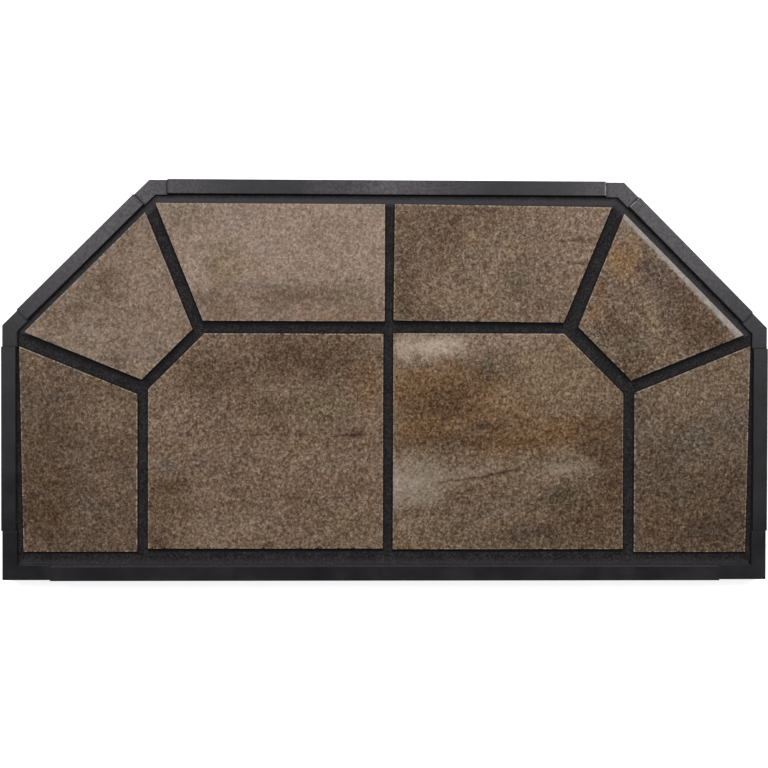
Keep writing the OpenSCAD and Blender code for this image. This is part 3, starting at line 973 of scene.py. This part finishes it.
def rail(edge):
    """Makes the visible rail of an edge."""
    section = bent_sheet(RAIL_TOP, edge.lip, True)
    length = edge.end - edge.start
    steps = max(8, round(length / STATION))
    ends = np.array([0, END_EASE, 1.2 * MM, 3 * MM])
    along = np.concatenate([ends, np.linspace(6 * MM, length - 6 * MM, steps), length - ends[::-1]])
    sections = []
    for k, s in enumerate(along):
        shape = shrunk(section, END_EASE) if k in (0, len(along) - 1) else section
        xy = edge.point(np.full(len(shape), s + edge.start), shape[:, 0])
        clear = smooth(0, 25 * MM, min(s, length - s) - 15 * MM)
        sag = clear * 0.07 * MM * (1 + noise(xy, 90 * MM, 700)) * shape[:, 0] / edge.lip
        on_lip = shape[:, 1] > CORNER_TOP - SHEET
        sections.append(np.column_stack([xy, shape[:, 1] - sag * on_lip]))
    points, faces = swept(sections)
    finish_steel(edge.rail, points, faces, "trim", [edge])


def mitre(a, b, depth):
    """Where the lines of two edges cross, each that far in."""
    reach = np.stack([a.reach - depth, b.reach - depth])
    return np.linalg.solve(np.stack([a.out, b.out]), reach).T


def corner(name, a, b):
    """Makes a visible corner piece: a tongue under rail a, two legs round the bend, a tongue."""
    co = vertices(NODES[name].data)[:, :2]
    depth = a.reach - co @ a.out
    along = co @ a.along
    at_seam = np.abs(along - a.end) < 0.01 * MM
    reach = depth[at_seam].max()
    tongue = a.end - along.min()
    narrow = depth[along < a.end - tongue + 0.01 * MM].max()
    section = bent_sheet(CORNER_TOP, reach - SHEET, False, narrow - SHEET) + (SHEET, 0)
    slim = np.column_stack([np.minimum(section[:, 0], narrow), section[:, 1]])
    bend = mitre(a, b, section[:, 0])

    def leg(edge, seam, away):
        """Sections from the tongue's end to the bend."""
        end = edge.point(np.full(len(slim), seam - away * tongue), slim[:, 0])
        hidden = edge.point(np.full(len(slim), seam), slim[:, 0])
        made = [np.column_stack([xy, section[:, 1]]) for xy in (end, hidden)]
        start = edge.point(np.full(len(section), seam), section[:, 0])
        for t in LEG_STEPS:
            made.append(np.column_stack([start + (bend - start) * t, section[:, 1]]))
        return made

    sections = leg(a, a.end, 1)
    inside = np.maximum(section[:, 0], BEND_R)
    for turn in np.linspace(0, 1, 7):
        way = a.out * (1 - turn) + b.out * turn
        way = way / np.linalg.norm(way)
        xy = mitre(a, b, inside) + (inside - section[:, 0])[:, None] * way
        sections.append(np.column_stack([xy, section[:, 1]]))
    sections += leg(b, b.start, -1)[::-1]
    points, faces = joined(*swept(sections))
    finish_steel(name, points, faces, "trim_corner", [a, b])


def joined(points, faces):
    """Merges points in one place and drops the faces that vanish."""
    cells = np.round(points / (0.002 * MM))
    _, first, place = np.unique(cells, axis=0, return_index=True, return_inverse=True)
    place = place.ravel()
    kept = []
    for face in faces:
        ring = [place[i] for i in face]
        ring = [v for k, v in enumerate(ring) if v != ring[k - 1]]
        if len(set(ring)) > 2:
            kept.append(ring)
    return points[first], kept


def cutter(edges):
    """Cones for the countersunk screw holes of some edges, and the bores under them."""
    shape = bmesh.new()
    for edge in edges:
        for s in screw_stops(edge):
            turn = np.linspace(0, 2 * math.pi, HOLE_SIDES, endpoint=False)
            rings = []
            for depth, radius in HOLE:
                xy = edge.point(s + radius * np.cos(turn), np.full(HOLE_SIDES, depth))
                ring = np.column_stack([xy, SCREW_Z + radius * np.sin(turn)])
                rings.append([shape.verts.new(p) for p in ring])
            for low, high in zip(rings, rings[1:]):
                for k in range(HOLE_SIDES):
                    shape.faces.new((low[k - 1], low[k], high[k], high[k - 1]))
            shape.faces.new(rings[0][::-1])
            shape.faces.new(rings[-1])
    bmesh.ops.recalc_face_normals(shape, faces=shape.faces)
    return from_bmesh("cutter", shape)


def pierced(made, edges):
    """Cuts the screw holes of some edges in a piece. Returns its new mesh."""
    tool = cutter(edges)
    holes = made.modifiers.new("holes", "BOOLEAN")
    holes.object = tool
    holes.operation = "DIFFERENCE"
    holes.solver = "EXACT"
    graph = bpy.context.evaluated_depsgraph_get()
    mesh = bpy.data.meshes.new_from_object(made.evaluated_get(graph))
    made.modifiers.clear()
    plain = made.data
    made.data = mesh
    bpy.data.meshes.remove(plain)
    bpy.data.objects.remove(tool)
    mesh.name = made.name
    smoothed(mesh)
    return mesh


def finish_steel(node, points, faces, slot, edges):
    """Makes a trim piece, with its screw holes, its film of dust and painted sheen, painted shade along
    its seams and a rubbed end with a painted glint.
    """
    made = piece(node + "_steel", points, faces, slot, node)
    co = vertices(pierced(made, edges))
    xy = co[:, :2]
    bearing = np.degrees(np.arctan2(xy[:, 1], xy[:, 0]))
    seams = [np.abs(xy @ edge.along - s) + 1.0 * (xy @ edge.out < edge.reach - 30 * MM)
             for edge in edges for s in (edge.start, edge.end)]
    # Painted shade along the seams, where a rail's end laps over a corner piece
    painted_seam_shade = np.exp(-((np.min(seams, 0) / (1.6 * MM)) ** 2))
    flat = smooth(-0.9 * MM, 0, co[:, 2] - (RAIL_TOP if slot == "trim" else CORNER_TOP))
    # Dust and painted sheen by bearing, less where the seams carry painted shade
    film = np.interp(bearing, *zip(*DUST_AND_SHEEN), period=360) * (1 - 0.9 * painted_seam_shade)
    rubbed_and_glint = np.zeros(len(xy))
    # The rubbed end of a rail, painted bright as bare steel with a glint
    if node in RUBBED_AND_GLINT:
        off = np.abs(xy @ edges[0].along - RUBBED_AND_GLINT[node](edges[0]))
        rubbed_and_glint = np.exp(-((off / (1.1 * MM)) ** 2))
    attribute(made, "film", film * flat)
    attribute(made, "painted_seam_shade", painted_seam_shade if slot == "trim_corner" else np.zeros(len(xy)))
    attribute(made, "rubbed_and_glint", rubbed_and_glint * flat)


for edge in EDGES:
    rail(edge)
for number, name in enumerate(CORNERS):
    corner(name, EDGES[number - 1], EDGES[number])

# ---- boards and screws ----


def plywood_look():
    look = Look("plywood", 0.7, specular=0.3)
    grain = look.noise(6 * MM, 6, 0.65, look.stretched((0.06, 1.0, 1.0)))
    figure = look.noise(60 * MM, 4, 0.6, look.stretched((0.25, 1.0, 1.0)))
    fibre = look.noise(1.2 * MM, 3, 0.6, look.stretched((0.03, 1.0, 1.0)))
    colour = look.mix(albedo(196, 158, 112), albedo(158, 114, 72), look.fit(figure, 0.35, 0.65))
    colour = look.shade(colour, look.fit(grain, 0.3, 0.7, 0.75, 1.15))
    height = look.add("ShaderNodeSeparateXYZ")
    look.put(height.inputs[0], look.place)
    ply = look.add("ShaderNodeMath", operation="PINGPONG")
    look.put(ply.inputs[0], height.outputs["Z"])
    ply.inputs[1].default_value = PLY
    seam = look.fit(ply.outputs[0], 0, 0.35 * MM, 0.55, 1.0)
    look.drive("Base Color", look.shade(colour, seam))
    look.drive("Roughness", look.fit(grain, 0.3, 0.7, 0.6, 0.82))
    look.bump(look.sum((grain, 1.0), (fibre, 0.6)), 0.25 * MM)
    return look.material


def stone_look(name, dark, light, lump, depth):
    look = Look(name, 0.9, specular=0.25)
    cloudy = look.noise(40 * MM, 4, 0.6)
    sand = look.noise(lump, 4, 0.7)
    pits = look.fit(look.cells(3 * lump), 0.08, 0.22, 1.0, 0.0)
    colour = look.mix(albedo(*dark), albedo(*light), look.fit(cloudy, 0.3, 0.7))
    colour = look.shade(colour, look.fit(sand, 0.25, 0.75, 0.75, 1.25))
    look.drive("Base Color", look.mix(colour, albedo(*dark), look.times(pits, 0.6)))
    look.drive("Roughness", look.fit(sand, 0.3, 0.7, 0.82, 0.96))
    look.bump(look.sum((sand, 1.0), (pits, -0.8)), depth)
    return look.material


def screw_look(name, shown, roughness):
    look = Look(name, roughness, metallic=1.0)
    film = look.noise(1.5 * MM, 4, 0.6)
    marks = look.noise(0.5 * MM, 3, 0.6, look.stretched((1.0, 1.0, 0.2)))
    look.drive("Base Color", look.shade(albedo(*shown), look.fit(film, 0.3, 0.7, 0.7, 1.25)))
    look.drive("Roughness", look.fit(film, 0.3, 0.7, roughness - 0.1, roughness + 0.15))
    look.bump(marks, 0.03 * MM)
    return look.material


PLY = (top("base_board") - bottom("base_board")) / 5  # five plies
BOARDS = {
    "base_board": plywood_look(),
    "cement_board": stone_look("cement_board", (118, 118, 114), (150, 150, 146), 1.2 * MM, 0.3 * MM),
    "mortar_bed": stone_look("thin_set_mortar", (104, 104, 101), (134, 133, 130), 0.8 * MM, 0.3 * MM),
    "trim_screws": screw_look("black_oxide", (52, 50, 52), 0.45),
    "board_screws": screw_look("zinc_plate", (190, 190, 186), 0.35),
}
for name, material in BOARDS.items():
    NODES[name].data.materials.clear()
    NODES[name].data.materials.append(material)

# ---- studio ----

shape = bmesh.new()
bmesh.ops.create_grid(shape, x_segments=8, y_segments=8, size=9)
floor = from_bmesh("floor", shape)
floor.location.z = bottom("base_board") - 0.2 * MM  # clear of the pad's own flat foot
paper = Look("studio_floor", 0.9, specular=0.1)
paper.drive("Base Color", (0.93, 0.93, 0.93))
paper.drive("Emission Color", (1.0, 1.0, 1.0))
paper.drive("Emission Strength", 0.7)
floor.data.materials.append(paper.material)

# Pale walls and a darker ceiling
WALLS = 1.0
CEILING = 0.08
world = bpy.data.worlds.new("studio")
bpy.context.scene.world = world
world.use_nodes = True
sky = world.node_tree
height = sky.nodes.new("ShaderNodeSeparateXYZ")
sky.links.new(sky.nodes.new("ShaderNodeTexCoord").outputs["Generated"], height.inputs[0])
fade = sky.nodes.new("ShaderNodeMapRange")
for socket, number in zip(list(fade.inputs)[1:5], (0.1, 0.9, WALLS, CEILING)):
    socket.default_value = number
sky.links.new(height.outputs["Z"], fade.inputs[0])
sky.links.new(fade.outputs[0], sky.nodes["Background"].inputs["Strength"])
sky.nodes["Background"].inputs["Color"].default_value = (1, 1, 1, 1)


def softbox(name, place, target, size, power):
    """An area lamp at a place, turned to a target."""
    lamp = bpy.data.lights.new(name, "AREA")
    lamp.shape = "RECTANGLE"
    lamp.size, lamp.size_y = size
    lamp.energy = power
    made = placed(name, lamp)
    made.location = place
    made.rotation_euler = (Vector(target) - Vector(place)).to_track_quat("-Z", "Y").to_euler()
    made.visible_camera = False


for name, side in (("key_left", -1), ("key_right", 1)):
    softbox(name, (1.35 * side, 1.25, 2.1), (0, 0, 0), (1.3, 1.0), 35)

# The camera looks straight down on the pad, a hair off square as the real one was
AIM = Vector((-0.00025, 0.00315, TILE_TOP))
DISTANCE = 1.4850
TILT = Vector((0.00936248, 0.0197822, -0.00246873))  # its axis, as long as its angle in radians
camera = bpy.data.cameras.new("camera")
camera.lens = 50.0
camera.sensor_width = 36.0
camera.shift_x = -0.00385
camera.shift_y = -0.00715
eye = placed("camera", camera)
turn = Matrix.Rotation(TILT.length, 3, TILT.normalized()).transposed()
eye.matrix_world = Matrix.Translation(AIM) @ turn.to_4x4() @ Matrix.Translation((0, 0, DISTANCE))
bpy.context.scene.camera = eye
bpy.context.scene.view_settings.view_transform = "Standard"
